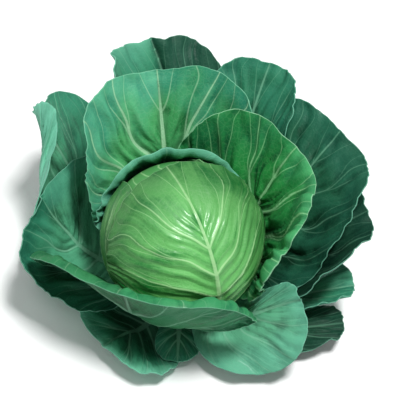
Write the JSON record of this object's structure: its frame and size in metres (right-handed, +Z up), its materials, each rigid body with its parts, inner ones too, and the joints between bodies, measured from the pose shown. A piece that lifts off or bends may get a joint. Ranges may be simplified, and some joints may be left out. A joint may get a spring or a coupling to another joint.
{
  "type": "white cabbage",
  "caption": "Round white cabbage head on its cut stalk, wrapped in close leaves and ringed by loose, waved outer leaves that lean out.",
  "frame": {"origin": "middle of the stalk's cut face, which the cabbage stands on", "axes": "+Z up along the stalk through the head, +Y towards the tallest leaves, +X towards the two leaves that lean out on the right"},
  "size_m": [0.3827, 0.3322, 0.2261],
  "materials": {
    "head_leaf": "satin",
    "inner_leaf": "satin",
    "outer_leaf": "satin"
  },
  "bodies": {
    "root": {"heart": "head_leaf", "left_wrapper": "head_leaf", "right_wrapper": "head_leaf", "front_wrapper": "head_leaf", "back_wrapper": "head_leaf", "back_right_inner": "inner_leaf", "back_left_inner": "inner_leaf", "front_left_inner": "inner_leaf", "front_fold": "outer_leaf", "back_right_upper": "outer_leaf", "back_upper": "outer_leaf", "left_spread": "outer_leaf", "right_upper": "outer_leaf", "right_lower": "outer_leaf", "left_upper": "outer_leaf", "right_boat": "outer_leaf", "right_low": "outer_leaf", "front_low": "outer_leaf", "front_left_low": "outer_leaf", "back_low": "outer_leaf", "back_left_low": "outer_leaf"}
  },
  "joints": []
}
